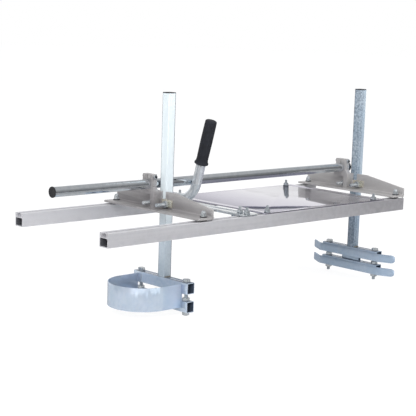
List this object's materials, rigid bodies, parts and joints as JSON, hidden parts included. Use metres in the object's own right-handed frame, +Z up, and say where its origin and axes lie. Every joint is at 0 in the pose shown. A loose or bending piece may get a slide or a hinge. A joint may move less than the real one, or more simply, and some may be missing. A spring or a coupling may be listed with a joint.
{
  "type": "chainsaw mill",
  "caption": "Chainsaw mill: two slotted rails, two brackets with height-adjustable square posts that clamp a guide bar, a thrust tube, a deck plate and a push handle.",
  "frame": {"origin": "middle of the footprint on the ground, under the ends of the four bar clamp bolts", "axes": "+X along the rails from the nose end to the saw end, +Y across them towards the thrust tube, +Z up"},
  "size_m": [1.1174, 0.3654, 0.5584],
  "materials": {
    "rail": "satin extrusion",
    "plate": "smooth, faintly glossy sheet",
    "cast_bracket": "brushed casting",
    "zinc_post": "zinc plated, bluish",
    "zinc_tube": "bright zinc plate",
    "zinc_band": "zinc plated, satin",
    "zinc_plate": "yellowish zinc plate",
    "bright_zinc": "bright zinc plate",
    "dark_steel": "blackened steel",
    "black_plastic": "matte moulded",
    "rubber": "matte ribbed grip"
  },
  "bodies": {
    "deck": {"front_rail": "rail", "rear_rail": "rail", "deck_plate": "plate", "deck_slot_bolts": "bright_zinc", "deck_nuts": "bright_zinc", "deck_washers": "bright_zinc"},
    "handle": {"handle_base": "bright_zinc", "handle_tube": "zinc_tube", "handle_grip": "rubber", "handle_end_plug": "black_plastic", "handle_slot_bolts": "bright_zinc", "handle_nuts": "bright_zinc", "handle_stop": "bright_zinc"},
    "thrust_tube": {"thrust_tube": "zinc_tube", "thrust_tube_caps": "black_plastic"},
    "nose_bracket": {"nose_bracket": "cast_bracket", "nose_slot_bolts": "bright_zinc", "nose_dome_nuts": "bright_zinc", "nose_washers": "black_plastic", "nose_spacers": "black_plastic", "nose_pinch_bolt": "dark_steel", "nose_pinch_nut": "bright_zinc", "nose_post_clamp": "bright_zinc", "nose_clamp_bolts": "bright_zinc", "nose_clamp_nuts": "bright_zinc", "nose_slot_cover": "zinc_plate"},
    "nose_post": {"nose_post": "zinc_post", "nose_post_cap": "black_plastic", "nose_upper_jaw": "zinc_band", "nose_jaw_bolts": "bright_zinc", "nose_guard": "zinc_band"},
    "nose_lower_jaw": {"nose_lower_jaw": "zinc_band", "nose_jaw_pad": "zinc_band", "nose_jaw_nuts": "bright_zinc"},
    "saw_bracket": {"saw_bracket": "cast_bracket", "saw_slot_bolts": "bright_zinc", "saw_dome_nuts": "bright_zinc", "saw_washers": "black_plastic", "saw_spacers": "black_plastic", "saw_pinch_bolt": "dark_steel", "saw_pinch_nut": "bright_zinc", "saw_post_clamp": "bright_zinc", "saw_clamp_bolts": "bright_zinc", "saw_clamp_nuts": "bright_zinc", "saw_slot_cover": "zinc_plate"},
    "saw_post": {"saw_post": "zinc_post", "saw_post_cap": "black_plastic", "saw_upper_jaw": "zinc_band", "saw_jaw_bolts": "bright_zinc", "saw_upper_skid": "zinc_band"},
    "saw_lower_jaw": {"saw_lower_jaw": "zinc_band", "saw_jaw_pad": "zinc_band", "saw_jaw_nuts": "bright_zinc", "saw_lower_skid": "zinc_band"}
  },
  "joints": [
    {"name": "nose_bracket_slide", "type": "slide", "parent": "deck", "child": "nose_bracket", "axis": [1, 0, 0], "range_m": [-0.27, 0.03]},
    {"name": "nose_post_height", "type": "slide", "parent": "nose_bracket", "child": "nose_post", "axis": [0, 0, 1], "range_m": [-0.22, 0.14]},
    {"name": "nose_jaw_clamp", "type": "slide", "parent": "nose_post", "child": "nose_lower_jaw", "axis": [0, 0, 1], "range_m": [0, 0.0085]},
    {"name": "saw_bracket_slide", "type": "slide", "parent": "deck", "child": "saw_bracket", "axis": [1, 0, 0], "range_m": [-0.03, 0]},
    {"name": "saw_post_height", "type": "slide", "parent": "saw_bracket", "child": "saw_post", "axis": [0, 0, 1], "range_m": [-0.22, 0.14]},
    {"name": "saw_jaw_clamp", "type": "slide", "parent": "saw_post", "child": "saw_lower_jaw", "axis": [0, 0, 1], "range_m": [-0.008, 0.0005]},
    {"name": "thrust_tube_slide", "type": "slide", "parent": "saw_bracket", "child": "thrust_tube", "axis": [1, 0, 0], "range_m": [-0.012, 0.2]},
    {"name": "handle_slide", "type": "slide", "parent": "deck", "child": "handle", "axis": [1, 0, 0], "range_m": [-0.03, 0.02]}
  ]
}
